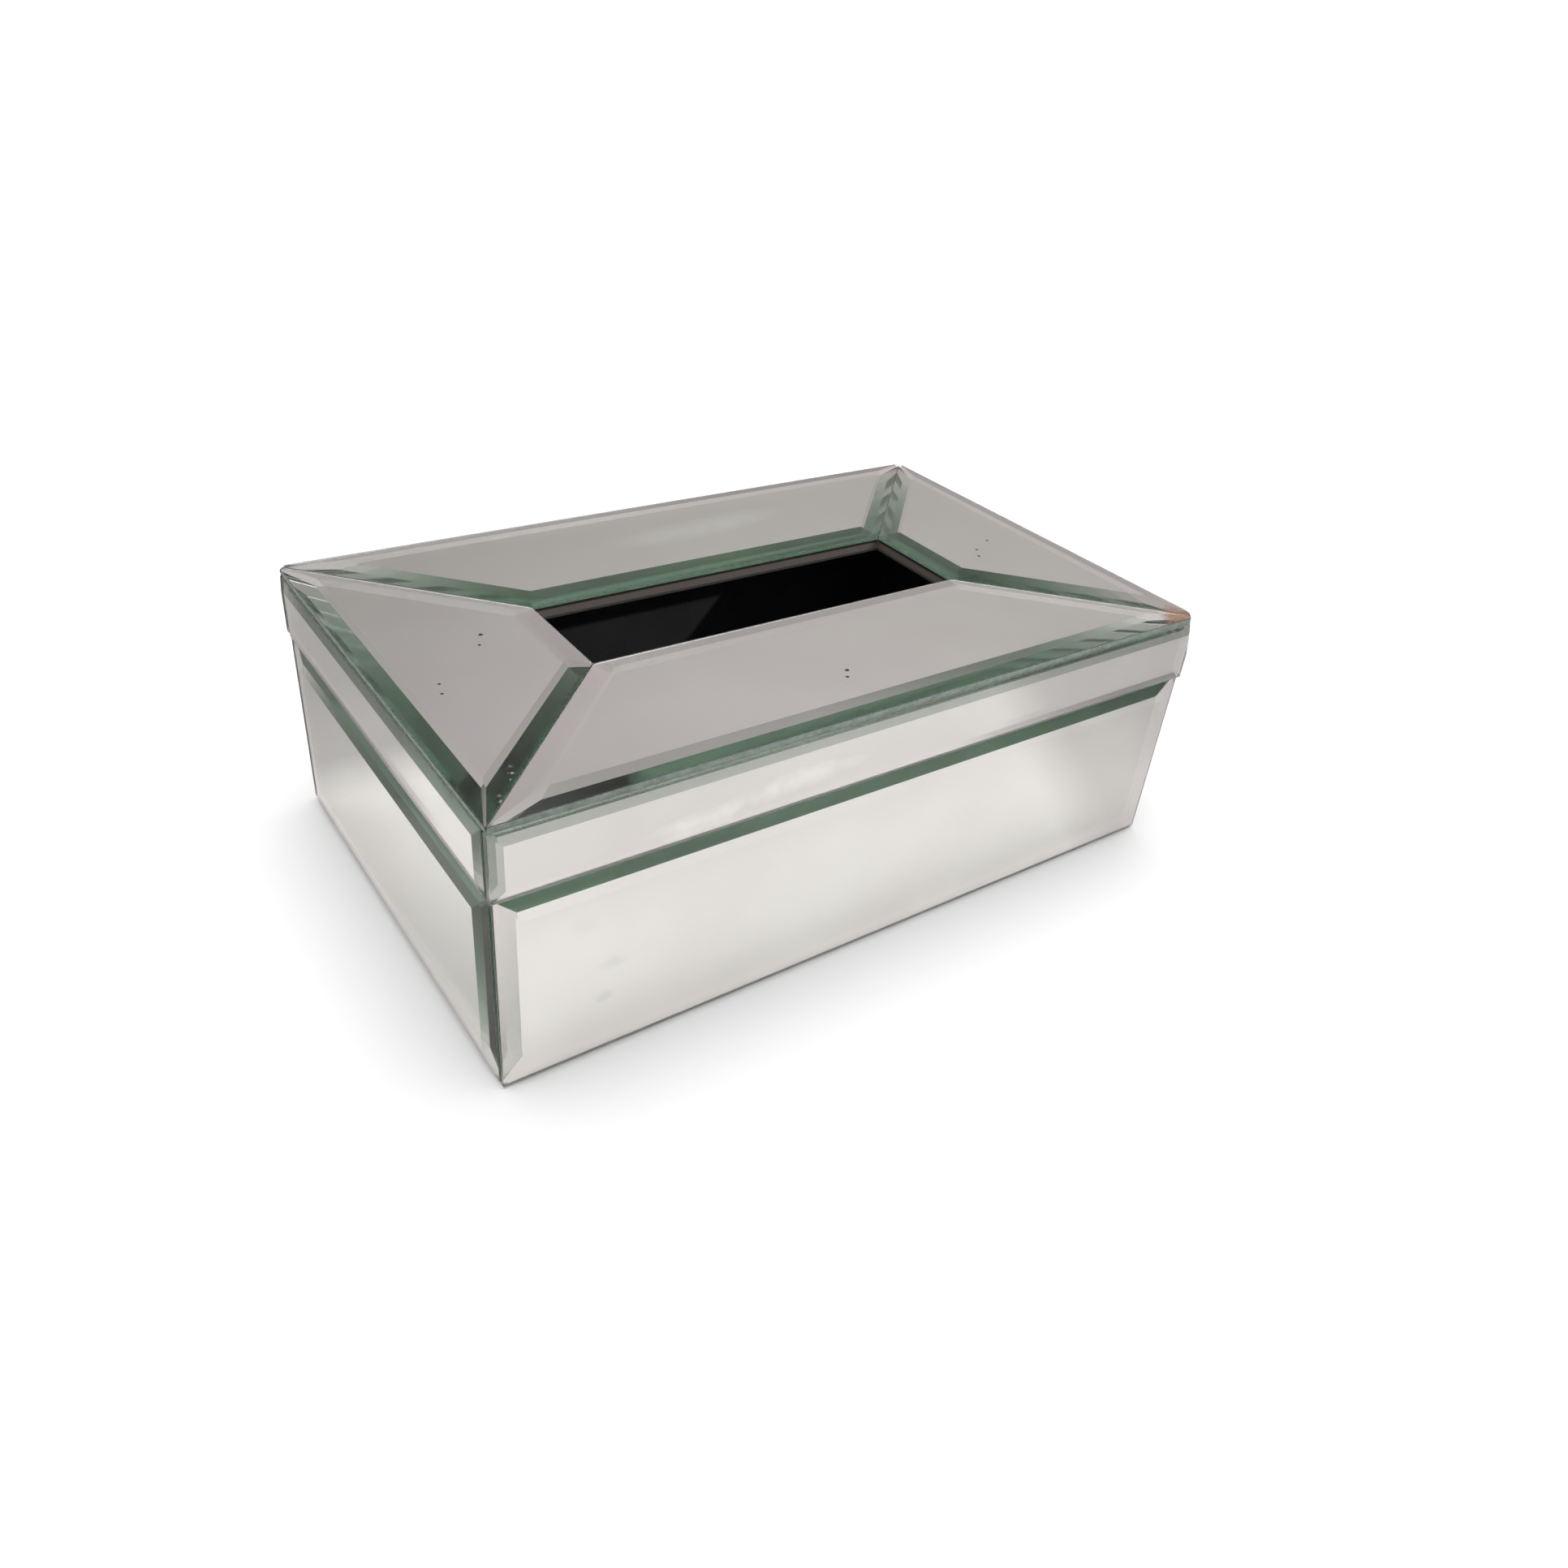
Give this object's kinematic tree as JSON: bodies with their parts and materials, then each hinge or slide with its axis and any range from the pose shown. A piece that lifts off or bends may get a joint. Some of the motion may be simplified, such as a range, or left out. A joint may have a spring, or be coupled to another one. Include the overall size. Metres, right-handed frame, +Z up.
{
  "type": "mirrored trinket box",
  "caption": "Rectangular box faced with bevelled mirrors, with a hinged lid whose flat top has a long slot in its middle.",
  "frame": {"origin": "middle of the underside, on the surface that the box stands on", "axes": "+Z up, X along the long side, -Y towards the front, where the lid opens"},
  "size_m": [0.27, 0.1719, 0.0943],
  "materials": {
    "mirror_glass": "polished, silvered behind, greenish at the edges",
    "board": "raw fibreboard",
    "velvet": "black flocked velvet",
    "felt": "pressed felt",
    "hinge_brass": "satin brass plate",
    "pin_steel": "drawn steel"
  },
  "bodies": {
    "base": {"base_felt": "felt", "base_floor_board": "board", "base_front_board": "board", "base_back_board": "board", "base_left_board": "board", "base_right_board": "board", "base_front_mirror": "mirror_glass", "base_back_mirror": "mirror_glass", "base_left_mirror": "mirror_glass", "base_right_mirror": "mirror_glass", "base_floor_lining": "velvet", "base_front_lining": "velvet", "base_back_lining": "velvet", "base_left_lining": "velvet", "base_right_lining": "velvet", "left_hinge_base_leaf": "hinge_brass", "left_hinge_pin": "pin_steel", "left_hinge_base_screws": "hinge_brass", "right_hinge_base_leaf": "hinge_brass", "right_hinge_pin": "pin_steel", "right_hinge_base_screws": "hinge_brass"},
    "lid": {"lid_top_board": "board", "lid_front_rail": "board", "lid_back_rail": "board", "lid_left_rail": "board", "lid_right_rail": "board", "lid_top_front_mirror": "mirror_glass", "lid_top_back_mirror": "mirror_glass", "lid_top_left_mirror": "mirror_glass", "lid_top_right_mirror": "mirror_glass", "lid_side_front_mirror": "mirror_glass", "lid_side_back_mirror": "mirror_glass", "lid_side_left_mirror": "mirror_glass", "lid_side_right_mirror": "mirror_glass", "lid_top_lining": "velvet", "lid_front_lining": "velvet", "lid_back_lining": "velvet", "lid_left_lining": "velvet", "lid_right_lining": "velvet", "left_hinge_lid_leaf": "hinge_brass", "left_hinge_lid_screws": "hinge_brass", "right_hinge_lid_leaf": "hinge_brass", "right_hinge_lid_screws": "hinge_brass"}
  },
  "joints": [
    {"name": "lid_hinge", "type": "hinge", "parent": "base", "child": "lid", "pos_m": [0, 0.0851, 0.06795], "axis": [-1, 0, 0], "range_deg": [0, 100]}
  ]
}
